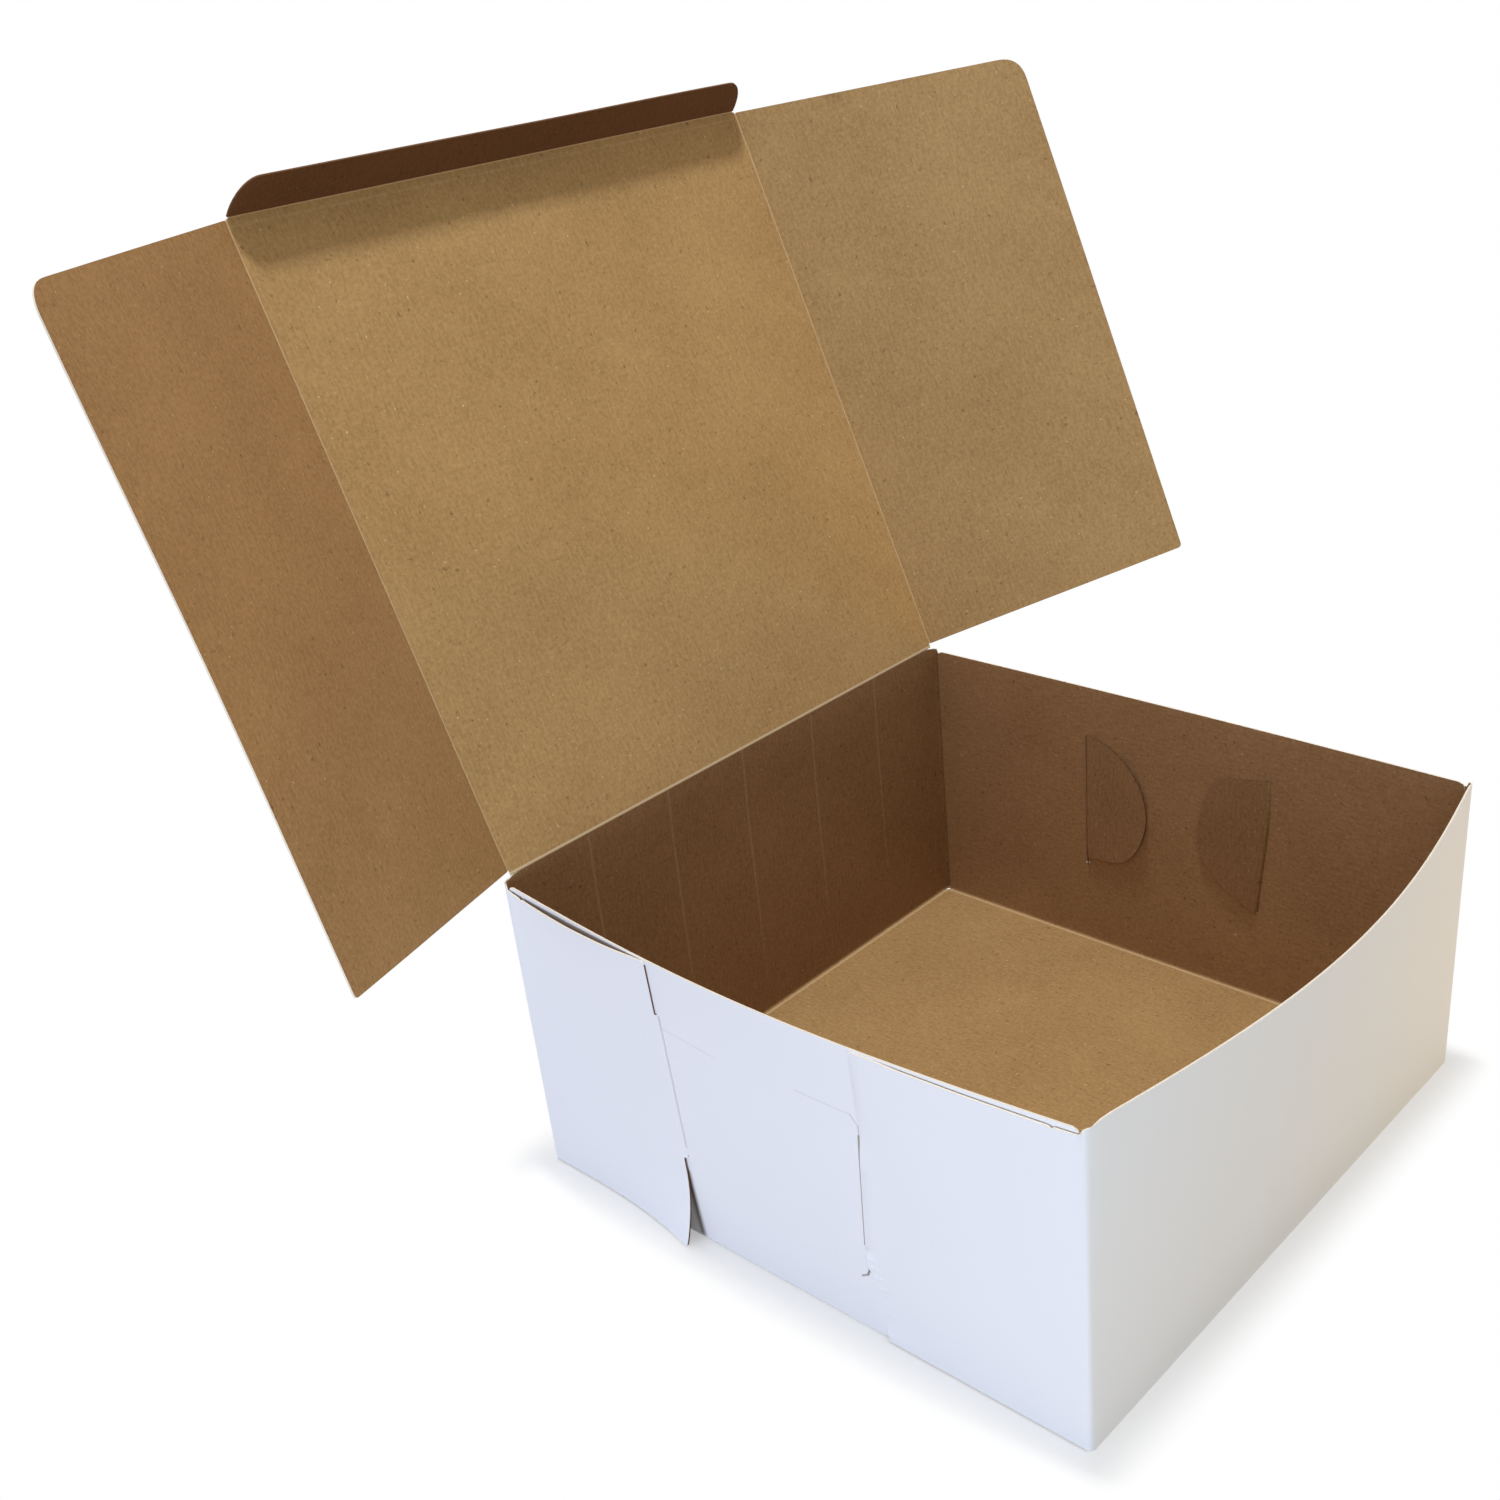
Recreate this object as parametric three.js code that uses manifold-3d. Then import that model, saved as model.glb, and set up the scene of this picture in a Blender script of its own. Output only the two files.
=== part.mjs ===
// Folding bakery box: a square tray of thin board with a hinged lid, side flaps and a front tuck flap.
// Millimetres, +Z up. The origin is the centre of the tray's base on the surface that it stands on.
// The lid is hinged on the back wall (+Y) and the model stands open, as the board relaxes.
import * as THREE from 'three';
import { mergeVertices } from 'three/addons/utils/BufferGeometryUtils.js';
import Module from 'manifold-3d';

const wasm = await Module();
wasm.setup();

// Driving dimensions
const board = 0.5; // thickness of the board
const layerGap = 0.3; // air between two layers that lie on each other
const trayWidth = 203.2; // across the outer faces of the corner ears
const trayDepth = 203.2; // front wall to back wall at the base
const hingeHeight = 102.0; // height of the lid crease
const frontRimHeight = 101.6;
const sideRimDrop = 2.2; // side walls end this far under the lid crease
const earDrop = 1.4; // ears end this far under the side rims
const frontBow = 13.8; // outward bow of the front rim at its middle
const leftBow = 7.3;
const rightBow = 1.2;
const backBow = 0.8;
const cornerRadius = 1.5; // bend of the board round an upright corner
const creaseSetback = 0.4; // board ends this far from each crease line
const foldRise = 2.0; // the walls rise straight from their base creases up to here
const slitOffset = 35.4; // slits of the side walls, from the middle of the wall
const slitWidth = 2.4;
const tabHeight = 51.2; // half-moon tab along its slit
const tabReach = 25.4;
const tabMiddle = 56.4; // height of the tab's middle
const tabClearance = 0.5; // slit beyond the tab at each end
const tabRamp = 1.7; // half of the run over which a tab steps through its slit
const earOverlap = 1.0; // the ear stops this far before the slit's line
const earCorner = 2.5; // radius of the ear's upper free corner
const earLift = 0.4; // ears end this far above the table
const footFlare = 6.0; // the left back ear's foot stands off by this much
const footFlareHeight = 27.0;
const earStandOff = 1.6; // the left back ear's top stands off the side wall by this much
const flapInset = 2.7; // side creases of the lid, inside the tray's outer face
const lidLength = 194.0; // back crease to front crease
const sideFlapWidth = 97.5;
const sideFlapStart = 1.6; // clear of the back crease
const sideFlapFrontGap = 3.5; // clear of the front crease
const sideFlapTaper = 16.0; // the front edge runs back by this much
const sideFlapCorner = 9.0;
const tuckDepth = 13.0;
const tuckInset = 8.0; // the tuck flap's free edge is shorter by this at each end
const tuckCorner = 6.0;
const lidOpenAngle = 111.9; // from closed, as it stands relaxed
const rightFlapAngle = 42.0; // folded in from the lid's plane
const leftFlapAngle = 31.8;
const tuckAngle = 62.0;

// Sizes that follow from the driving ones
const halfBoard = board / 2;
const halfWidth = trayWidth / 2;
const halfDepth = trayDepth / 2;
const wrapX = halfWidth - halfBoard; // mid-plane of the ears
const wrapY = halfDepth - halfBoard; // mid-plane of the front and back walls
const sideWallX = wrapX - board - layerGap; // mid-plane of the side walls
const tabX = sideWallX - board - layerGap; // mid-plane of the tabs inside
const sideRimHeight = hingeHeight - sideRimDrop;
const earHeight = sideRimHeight - earDrop;
const backRimHeight = hingeHeight - creaseSetback;
const cornerCut = cornerRadius + board; // base corners inside the upright bends
const sideWallEnd = wrapY - cornerRadius - layerGap; // side walls stop short of the bends
const slitHeight = tabHeight + 2 * tabClearance;
const creaseX = halfWidth - flapInset;
const bowCells = 20;

const kraft = new THREE.MeshStandardMaterial({ color: 0xa88459, roughness: 0.9, metalness: 0 });
const coated = new THREE.MeshStandardMaterial({ color: 0xe4e6ee, roughness: 0.55, metalness: 0 });
const radians = THREE.MathUtils.degToRad;

// A closed mesh becomes a solid, and a solid becomes a mesh's geometry.
function solidOf(geometry) {
  const plain = geometry.clone();
  plain.deleteAttribute('normal');
  plain.deleteAttribute('uv');
  const merged = mergeVertices(plain, 1e-4);
  const vertProperties = new Float32Array(merged.attributes.position.array);
  const triVerts = new Uint32Array(merged.index.array);
  return new wasm.Manifold(new wasm.Mesh({ numProp: 3, vertProperties, triVerts }));
}

function geometryOf(solid) {
  const mesh = solid.getMesh();
  const geometry = new THREE.BufferGeometry();
  geometry.setAttribute('position', new THREE.BufferAttribute(new Float32Array(mesh.vertProperties), 3));
  geometry.setIndex(new THREE.BufferAttribute(new Uint32Array(mesh.triVerts), 1));
  geometry.computeVertexNormals();
  return geometry;
}

// A bent board: place(i, j, side) gives a point of the outer (side 1) or inner (side -1) face.
function boardGeometry(nu, nv, place) {
  const positions = [];
  const index = [];
  const at = (i, j, side) => (side > 0 ? 0 : (nu + 1) * (nv + 1)) + j * (nu + 1) + i;
  for (const side of [1, -1]) {
    for (let j = 0; j <= nv; j += 1) {
      for (let i = 0; i <= nu; i += 1) positions.push(...place(i, j, side));
    }
  }
  const quad = (a, b, c, d) => index.push(a, b, c, a, c, d);
  for (let j = 0; j < nv; j += 1) {
    for (let i = 0; i < nu; i += 1) {
      quad(at(i, j, 1), at(i + 1, j, 1), at(i + 1, j + 1, 1), at(i, j + 1, 1));
      quad(at(i, j, -1), at(i, j + 1, -1), at(i + 1, j + 1, -1), at(i + 1, j, -1));
    }
  }
  for (let i = 0; i < nu; i += 1) {
    quad(at(i, 0, -1), at(i + 1, 0, -1), at(i + 1, 0, 1), at(i, 0, 1));
    quad(at(i, nv, 1), at(i + 1, nv, 1), at(i + 1, nv, -1), at(i, nv, -1));
  }
  for (let j = 0; j < nv; j += 1) {
    quad(at(0, j, 1), at(0, j + 1, 1), at(0, j + 1, -1), at(0, j, -1));
    quad(at(nu, j, -1), at(nu, j + 1, -1), at(nu, j + 1, 1), at(nu, j, 1));
  }
  const geometry = new THREE.BufferGeometry();
  geometry.setAttribute('position', new THREE.Float32BufferAttribute(positions, 3));
  geometry.setIndex(index);
  return geometry;
}

// A flat outline in x and y, made thick along z from low to high.
function plate(shape, low, high, curveSegments = 8) {
  const geometry = new THREE.ExtrudeGeometry(shape, { depth: high - low, bevelEnabled: false, curveSegments });
  return geometry.translate(0, 0, low);
}

// An outline in y and z, made thick along x from low to high.
function sideCutter(shape, low, high) {
  const geometry = plate(shape, low, high, 14);
  const turn = new THREE.Matrix4().makeBasis(
    new THREE.Vector3(0, 1, 0),
    new THREE.Vector3(0, 0, 1),
    new THREE.Vector3(1, 0, 0),
  );
  return solidOf(geometry.applyMatrix4(turn));
}

// How far a wall bows at its rim, from nothing at its corners to the full bow at its middle.
const bowAt = (bow, along, span) => bow * Math.cos((Math.PI * along) / span);

// A wall's bow grows evenly from its base crease to the height of the back rim.
const bowShare = (z) => Math.max(0, z - foldRise) / (backRimHeight - foldRise);

// The plan of an end wall with its two ears: mid-line points, outward direction, rim bow and layer step.
function wrapPlan(endBow) {
  const points = [];
  const earEnd = slitOffset - tabReach;
  const straightEnd = wrapY - cornerRadius;
  const bows = { '-1': leftBow, 1: rightBow };
  const steps = [earEnd, earEnd + 6, earEnd + 12, earEnd + 18, slitOffset - tabRamp, slitOffset - tabRamp / 2,
    slitOffset, slitOffset + tabRamp / 2, slitOffset + tabRamp, 45, 54, 63, 72, 81, 90, straightEnd];
  const layerStep = (y) => {
    const run = THREE.MathUtils.clamp((slitOffset + tabRamp - y) / (2 * tabRamp), 0, 1);
    return -(wrapX - tabX) * THREE.MathUtils.smoothstep(run, 0, 1);
  };
  const ear = (side, list) => list.forEach((y) => {
    const bow = bowAt(bows[side], y, trayDepth);
    points.push({ x: side * wrapX, y, nx: side, ny: 0, bow, shift: layerStep(y), side });
  });
  const corner = (side, turns) => turns.forEach((turn) => {
    const angle = radians(90 * turn);
    points.push({
      x: side * (wrapX - cornerRadius + cornerRadius * Math.cos(angle)),
      y: straightEnd + cornerRadius * Math.sin(angle),
      nx: side * Math.cos(angle),
      ny: Math.sin(angle),
      bow: 0,
      shift: 0,
      side,
    });
  });
  ear(-1, steps.slice(0, -1));
  corner(-1, [0, 0.33, 0.67, 1]);
  for (let i = 1; i < bowCells; i += 1) {
    const x = (wrapX - cornerRadius) * ((2 * i) / bowCells - 1);
    points.push({ x, y: wrapY, nx: 0, ny: 1, bow: bowAt(endBow, x, trayWidth), shift: 0, side: 0 });
  }
  corner(1, [1, 0.67, 0.33, 0]);
  ear(1, steps.slice(0, -1).reverse());
  return points;
}

// An end wall with its ears and tabs, standing at the back; mirrorY turns it to the front.
function endWrap(endBow, rim, mirrorY, flaredFoot) {
  const plan = wrapPlan(endBow);
  const foot = (p, z) => {
    if (!flaredFoot || p.side !== -1 || z > footFlareHeight) return 0;
    const along = THREE.MathUtils.clamp((wrapY - p.y) / (wrapY - slitOffset), 0, 1);
    return footFlare * along ** 3 * (1 - z / footFlareHeight) ** 2;
  };
  const standOff = (p, z) => {
    if (!flaredFoot || p.side !== -1 || p.ny > 0) return 0;
    const run = wrapY - cornerRadius - slitOffset - tabRamp;
    const along = THREE.MathUtils.clamp((wrapY - cornerRadius - p.y) / run, 0, 1);
    return earStandOff * Math.sin(Math.PI * along) * bowShare(z);
  };
  const rows = [0, foldRise, 8, 14, 20, footFlareHeight, tabMiddle, earHeight - earCorner, rim];
  const place = (i, j, side) => {
    const p = plan[i];
    const z = rows[j];
    const out = p.bow * bowShare(z) + p.shift + foot(p, z) + standOff(p, z) + side * halfBoard;
    return [p.x + p.nx * out, mirrorY * (p.y + p.ny * out), z];
  };
  const geometry = boardGeometry(plan.length - 1, rows.length - 1, place);
  if (mirrorY > 0) geometry.setIndex(Array.from(geometry.index.array).reverse());
  let solid = solidOf(geometry);
  for (const side of [-1, 1]) solid = solid.subtract(earCutter(side, mirrorY, rim));
  return solid;
}

// What an ear and its half-moon tab leave of the end wall's blank: everything in this outline goes.
function earCutter(side, mirrorY, rim) {
  const shape = new THREE.Shape();
  const freeEdge = slitOffset + earOverlap;
  const tabLow = tabMiddle - tabHeight / 2;
  const tabHigh = tabMiddle + tabHeight / 2;
  const cornerSide = wrapY - cornerRadius;
  const neck = slitOffset - tabRamp;
  const past = rim + 20;
  const points = [[cornerSide, -5], [cornerSide, earLift], [freeEdge, earLift], [freeEdge, tabLow], [neck, tabLow]];
  const arcSteps = 16;
  for (let i = 1; i < arcSteps; i += 1) {
    const angle = radians(-90 + (180 * i) / arcSteps);
    points.push([neck - (tabReach - tabRamp) * Math.cos(angle), tabMiddle + (tabHeight / 2) * Math.sin(angle)]);
  }
  points.push([neck, tabHigh], [freeEdge, tabHigh], [freeEdge, earHeight - earCorner]);
  for (let i = 1; i <= 5; i += 1) {
    const angle = radians(180 - 18 * i);
    points.push([freeEdge + earCorner + earCorner * Math.cos(angle),
      earHeight - earCorner + earCorner * Math.sin(angle)]);
  }
  points.push([cornerSide, earHeight], [cornerSide, past], [slitOffset - tabReach - 20, past],
    [slitOffset - tabReach - 20, -5]);
  points.forEach(([y, z], i) => (i ? shape.lineTo(mirrorY * y, z) : shape.moveTo(mirrorY * y, z)));
  const low = side > 0 ? tabX - 20 : -halfWidth - 40;
  return sideCutter(shape, low, low + halfWidth - tabX + 60);
}

// A side wall, bent up from the base, with the two slits that the tabs pass through.
function sideWall(side, bow) {
  const rows = [0, foldRise, tabMiddle, sideRimHeight];
  const place = (i, j, face) => {
    const y = sideWallEnd * ((2 * i) / bowCells - 1);
    const z = rows[j];
    return [side * (sideWallX + bowAt(bow, y, trayDepth) * bowShare(z) + face * halfBoard), y, z];
  };
  const geometry = boardGeometry(bowCells, rows.length - 1, place);
  if (side < 0) geometry.setIndex(Array.from(geometry.index.array).reverse());
  let solid = solidOf(geometry);
  for (const end of [-1, 1]) {
    const slit = new THREE.Shape();
    const low = tabMiddle - slitHeight / 2;
    slit.moveTo(end * slitOffset - slitWidth / 2, low);
    slit.lineTo(end * slitOffset + slitWidth / 2, low);
    slit.lineTo(end * slitOffset + slitWidth / 2, low + slitHeight);
    slit.lineTo(end * slitOffset - slitWidth / 2, low + slitHeight);
    const start = side > 0 ? tabX - 20 : -halfWidth - 40;
    solid = solid.subtract(sideCutter(slit, start, start + halfWidth - tabX + 60));
  }
  return solid;
}

// The base: a plate whose corners stay inside the upright bends.
function base() {
  const x = sideWallX; // the base runs to the mid-planes of its four walls
  const y = wrapY;
  const shape = new THREE.Shape();
  const corners = [[x, -y + cornerCut], [x, y - cornerCut], [x - cornerCut, y], [-x + cornerCut, y],
    [-x, y - cornerCut], [-x, -y + cornerCut], [-x + cornerCut, -y], [x - cornerCut, -y]];
  corners.forEach(([px, py], i) => (i ? shape.lineTo(px, py) : shape.moveTo(px, py)));
  return solidOf(plate(shape, 0, board));
}

function makeTray() {
  const solid = base()
    .add(sideWall(-1, leftBow))
    .add(sideWall(1, rightBow))
    .add(endWrap(backBow, backRimHeight, 1, true))
    .add(endWrap(frontBow, frontRimHeight, -1, false));
  const tray = new THREE.Mesh(geometryOf(solid), coated);
  tray.name = 'tray';
  return tray;
}

// Lid panel, in its own plane: x across, y from the back crease (0) towards the front crease (-lidLength).
function makeLidPanel() {
  const x = creaseX - creaseSetback;
  const shape = new THREE.Shape();
  shape.moveTo(-x, -creaseSetback);
  shape.lineTo(-x, -lidLength + creaseSetback);
  shape.lineTo(x, -lidLength + creaseSetback);
  shape.lineTo(x, -creaseSetback);
  const lid = new THREE.Mesh(plate(shape, -halfBoard, halfBoard), kraft);
  lid.name = 'lid_panel';
  return lid;
}

// Side flap: x outwards from its crease, y along the lid from the back crease.
function makeSideFlap(side) {
  const shape = new THREE.Shape();
  const front = -lidLength + sideFlapFrontGap;
  const outer = sideFlapWidth;
  const frontOuter = front + sideFlapTaper;
  const edge = new THREE.Vector2(outer - creaseSetback, sideFlapTaper).normalize();
  shape.moveTo(side * creaseSetback, -sideFlapStart);
  shape.lineTo(side * creaseSetback, front);
  shape.lineTo(side * (outer - sideFlapCorner * edge.x), frontOuter - sideFlapCorner * edge.y);
  shape.quadraticCurveTo(side * outer, frontOuter, side * outer, frontOuter + sideFlapCorner);
  shape.lineTo(side * outer, -sideFlapStart - sideFlapCorner / 3);
  shape.lineTo(side * (outer - sideFlapCorner / 3), -sideFlapStart);
  const flap = new THREE.Mesh(plate(shape, -halfBoard, halfBoard), kraft);
  flap.name = side < 0 ? 'left_side_flap' : 'right_side_flap';
  return flap;
}

// Front tuck flap: y away from the front crease, with rounded ends.
function makeTuckFlap() {
  const x = creaseX - creaseSetback - 0.4;
  const free = x - tuckInset;
  const shape = new THREE.Shape();
  shape.moveTo(-x, -creaseSetback);
  shape.quadraticCurveTo(-x, -tuckDepth + tuckCorner, -free, -tuckDepth);
  shape.lineTo(free, -tuckDepth);
  shape.quadraticCurveTo(x, -tuckDepth + tuckCorner, x, -creaseSetback);
  const flap = new THREE.Mesh(plate(shape, -halfBoard, halfBoard), kraft);
  flap.name = 'front_tuck_flap';
  return flap;
}

// Assembly: each crease is a group at its line, turned by the fold that the board has taken.
const bakeryBox = new THREE.Group();
bakeryBox.name = 'bakery_box';
bakeryBox.add(makeTray());

const lidCrease = new THREE.Group();
lidCrease.position.set(0, wrapY, hingeHeight);
lidCrease.rotation.x = -radians(lidOpenAngle);
lidCrease.add(makeLidPanel());
bakeryBox.add(lidCrease);

for (const [side, angle] of [[-1, leftFlapAngle], [1, rightFlapAngle]]) {
  const crease = new THREE.Group();
  crease.position.set(side * creaseX, 0, 0);
  crease.rotation.y = side * radians(angle);
  crease.add(makeSideFlap(side));
  lidCrease.add(crease);
}

const tuckCrease = new THREE.Group();
tuckCrease.position.set(0, -lidLength, 0);
tuckCrease.rotation.x = radians(tuckAngle);
tuckCrease.add(makeTuckFlap());
lidCrease.add(tuckCrease);

export default bakeryBox;
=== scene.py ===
import math

import bpy
from mathutils import Matrix, Vector, noise
from mathutils.geometry import delaunay_2d_cdt


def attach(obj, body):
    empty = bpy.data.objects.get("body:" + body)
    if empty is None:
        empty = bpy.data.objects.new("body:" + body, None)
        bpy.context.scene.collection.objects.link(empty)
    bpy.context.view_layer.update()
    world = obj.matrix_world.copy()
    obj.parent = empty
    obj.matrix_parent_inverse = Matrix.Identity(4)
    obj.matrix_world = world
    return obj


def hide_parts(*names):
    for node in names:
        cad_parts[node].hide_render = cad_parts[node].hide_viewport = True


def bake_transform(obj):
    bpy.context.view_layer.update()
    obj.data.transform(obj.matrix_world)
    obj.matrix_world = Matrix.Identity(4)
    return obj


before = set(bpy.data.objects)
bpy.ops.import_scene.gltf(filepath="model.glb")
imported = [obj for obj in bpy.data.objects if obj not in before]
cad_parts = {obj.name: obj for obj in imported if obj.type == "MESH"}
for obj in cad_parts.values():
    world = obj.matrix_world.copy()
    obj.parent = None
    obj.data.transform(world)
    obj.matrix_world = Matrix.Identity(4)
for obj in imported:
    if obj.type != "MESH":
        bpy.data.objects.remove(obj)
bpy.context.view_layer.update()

mm = 0.001

# sizes of the folded blank in mm, and the rest folds in degrees
blank = {
    "board": 0.5,
    "layerGap": 0.3,
    "width": 203.2,
    "depth": 203.2,
    "hingeHeight": 102.0,
    "frontRim": 101.6,
    "sideRimDrop": 2.2,
    "frontBow": 13.8,
    "leftBow": 7.3,
    "rightBow": 1.2,
    "backBow": 0.8,
    # the back wall's bow fades out towards its straight hinge
    "straightFrom": 70.0,
    "straightOver": 30.0,
    "cornerRadius": 1.5,
    "baseRadius": 0.7,
    "setback": 0.4,
    "foldRise": 2.0,
    "flapInset": 2.7,
    "lidLength": 194.0,
    "sideFlapWidth": 97.5,
    "sideFlapStart": 0.9,
    "sideFlapFrontGap": 0.7,
    "sideFlapTaper": 16.0,
    "sideFlapCorner": 7.5,
    "sideFlapHeel": 1.2,
    "tuckDepth": 13.0,
    "tuckInset": 8.0,
    "tuckSide": 0.4,
    "lidOpen": 111.9,
    "rightFold": 42.0,
    "leftFold": 31.8,
    "tuckFold": 62.0,
}
# how far apart the points of each board's mesh stand, in mm
cells = {"wrap": 3.2, "cradle": 3.4, "lid": 6.0, "sideFlap": 5.0, "tuckFlap": 3.0}
sharpAngle = 50
half = blank["board"] / 2
wrapX = blank["width"] / 2 - half
wrapY = blank["depth"] / 2 - half
sideWallX = wrapX - blank["board"] - blank["layerGap"]
tabX = sideWallX - blank["board"] - blank["layerGap"]
backRim = blank["hingeHeight"] - blank["setback"]
sideRim = blank["hingeHeight"] - blank["sideRimDrop"]
straightEnd = wrapY - blank["cornerRadius"]
sideWallEnd = straightEnd - blank["layerGap"]
creaseX = blank["width"] / 2 - blank["flapInset"]
bendRun = blank["cornerRadius"] * math.pi / 2
endHalf = wrapX - blank["cornerRadius"]


def clamp(value, low, high):
    return max(low, min(high, value))


def ease(t):
    t = clamp(t, 0, 1)
    return t * t * (3 - 2 * t)


def bowAt(bow, along, span):
    return bow * math.cos(math.pi * along / span)


def bowShare(z):
    return max(0, z - blank["foldRise"]) / (backRim - blank["foldRise"])


def meshObject(name, verts, faces, slots, uvs, materials, flatSlots):
    mesh = bpy.data.meshes.new(name)
    mesh.from_pydata(verts, [], faces)
    layer = mesh.uv_layers.new(name="flat")
    for loop in mesh.loops:
        layer.data[loop.index].uv = uvs[loop.vertex_index]
    for polygon, slot in zip(mesh.polygons, slots):
        polygon.material_index = slot
        polygon.use_smooth = slot not in flatSlots
    for material in materials:
        mesh.materials.append(material)
    mesh.update()
    mesh.set_sharp_from_angle(angle=math.radians(sharpAngle))
    board = bpy.data.objects.new(name, mesh)
    bpy.context.collection.objects.link(board)
    return board


# A flat blank outline becomes a folded board. Its materials are outside, inside and cut edge, and where
# ownPart(u, onEdge) says so, two more for the inside and the cut edge.
def foldBoard(name, outline, place, cell, materials, holes=(), linesU=(), linesV=(), outward=1,
              ownPart=None):
    us = [p[0] for p in outline]
    vs = [p[1] for p in outline]

    def stops(low, high, extra):
        count = max(1, round((high - low) / cell))
        found = [low + (high - low) * i / count for i in range(count + 1)]
        kept = [s for s in found if all(abs(s - e) > cell * 0.3 for e in extra)]
        return sorted(kept + [e for e in extra if low <= e <= high])

    def inside(u, v, ring):
        found = False
        for (u1, v1), (u2, v2) in zip(ring, ring[1:] + ring[:1]):
            if (v1 > v) != (v2 > v) and u < (u2 - u1) * (v - v1) / (v2 - v1) + u1:
                found = not found
        return found

    def farFrom(u, v, ring, least):
        for (u1, v1), (u2, v2) in zip(ring, ring[1:] + ring[:1]):
            du, dv = u2 - u1, v2 - v1
            run = du * du + dv * dv
            t = clamp(((u - u1) * du + (v - v1) * dv) / run, 0, 1) if run else 0
            if math.hypot(u - u1 - t * du, v - v1 - t * dv) < least:
                return False
        return True

    rings = [outline, *holes]
    points = []
    ringEdges = []
    for ring in rings:
        dense = []
        for (u1, v1), (u2, v2) in zip(ring, ring[1:] + ring[:1]):
            long = math.hypot(u2 - u1, v2 - v1)
            steps = max(1, math.ceil(long / cell))
            crossings = [(line - u1) / (u2 - u1) for line in linesU if abs(u2 - u1) > 0.05]
            crossings += [(line - v1) / (v2 - v1) for line in linesV if abs(v2 - v1) > 0.05]
            shares = [t for t in crossings if 0.1 < t * long < long - 0.1]
            shares += [i / steps for i in range(1, steps)
                       if all(abs(i / steps - t) * long > cell / 4 for t in shares)]
            dense += [(u1 + (u2 - u1) * t, v1 + (v2 - v1) * t) for t in [0.0] + sorted(shares)]
        first = len(points)
        points += dense
        ringEdges += [(first + i, first + (i + 1) % len(dense)) for i in range(len(dense))]
    stopsU = stops(min(us), max(us), list(linesU))
    stopsV = stops(min(vs), max(vs), list(linesV))
    for u in stopsU:
        for v in stopsV:
            if not inside(u, v, outline) or any(inside(u, v, h) for h in holes):
                continue
            least = 0.25 if u in linesU or v in linesV else cell * 0.3
            if all(farFrom(u, v, ring, least) for ring in rings):
                points.append((u, v))
    flat = delaunay_2d_cdt([Vector(p) for p in points], ringEdges, [], 0, 1e-5)
    flatPoints, triangles = flat[0], flat[2]
    kept = []
    for t in triangles:
        cu = sum(flatPoints[i][0] for i in t) / 3
        cv = sum(flatPoints[i][1] for i in t) / 3
        if inside(cu, cv, outline) and not any(inside(cu, cv, h) for h in holes):
            kept.append(tuple(t))
    used = sorted({i for t in kept for i in t})
    renumber = {old: new for new, old in enumerate(used)}
    kept = [tuple(renumber[i] for i in t) for t in kept]
    uvs = [tuple(flatPoints[i]) for i in used]
    count = len(uvs)
    step = 0.02
    verts = []
    for side in (1, -1):
        for u, v in uvs:
            p = Vector(place(u, v))
            du = Vector(place(u + step, v)) - Vector(place(u - step, v))
            dv = Vector(place(u, v + step)) - Vector(place(u, v - step))
            normal = du.cross(dv).normalized() * outward
            verts.append((p + normal * side * half) * mm)
    faces = []
    slots = []
    borders = {}
    for a, b, c in kept:
        front = (a, b, c) if outward > 0 else (a, c, b)
        faces.append(front)
        slots.append(0)
        faces.append(tuple(count + i for i in reversed(front)))
        slots.append(3 if ownPart and all(ownPart(uvs[i][0], False) for i in (a, b, c)) else 1)
        for edge in ((front[0], front[1]), (front[1], front[2]), (front[2], front[0])):
            if (edge[1], edge[0]) in borders:
                del borders[(edge[1], edge[0])]
            else:
                borders[edge] = True
    for a, b in borders:
        faces.append((b, a, count + a, count + b))
        slots.append(4 if ownPart and all(ownPart(uvs[i][0], True) for i in (a, b)) else 2)
    flatUvs = [(u * mm, v * mm) for u, v in uvs] * 2
    return meshObject(name, verts, faces, slots, flatUvs, materials, (2, 4))


def joinBoards(name, boards):
    bpy.ops.object.select_all(action="DESELECT")
    for board in boards:
        board.select_set(True)
    bpy.context.view_layer.objects.active = boards[0]
    bpy.ops.object.join()
    boards[0].name = name
    boards[0].data.name = name
    return boards[0]


# node helpers
def newGroup(name, inputs, outputs):
    group = bpy.data.node_groups.new(name, "ShaderNodeTree")
    for label, kind, value in inputs:
        socket = group.interface.new_socket(name=label, in_out="INPUT", socket_type=kind)
        if value is not None:
            socket.default_value = value
    for label, kind in outputs:
        group.interface.new_socket(name=label, in_out="OUTPUT", socket_type=kind)
    return group, group.nodes.new("NodeGroupInput"), group.nodes.new("NodeGroupOutput")


def addNode(tree, kind, links=(), **settings):
    node = tree.nodes.new(kind)
    for key, value in settings.items():
        setattr(node, key, value)
    for socket, source in links:
        if isinstance(source, bpy.types.NodeSocket):
            tree.links.new(source, node.inputs[socket])
        else:
            node.inputs[socket].default_value = source
    return node


def mathNode(tree, operation, first, second=0.0, third=None, clampIt=False):
    links = [(0, first), (1, second)]
    if third is not None:
        links.append((2, third))
    node = addNode(tree, "ShaderNodeMath", links, operation=operation, use_clamp=clampIt)
    return node.outputs[0]


def mixColours(tree, factor, first, second, blend="MIX"):
    node = addNode(tree, "ShaderNodeMix", [(0, factor), (6, first), (7, second)], data_type="RGBA")
    node.blend_type = blend
    return node.outputs[2]


def colour(red, green, blue):
    def linear(c):
        c = c / 255
        return c / 12.92 if c <= 0.04045 else ((c + 0.055) / 1.055) ** 2.4
    return (linear(red), linear(green), linear(blue), 1)


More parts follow.
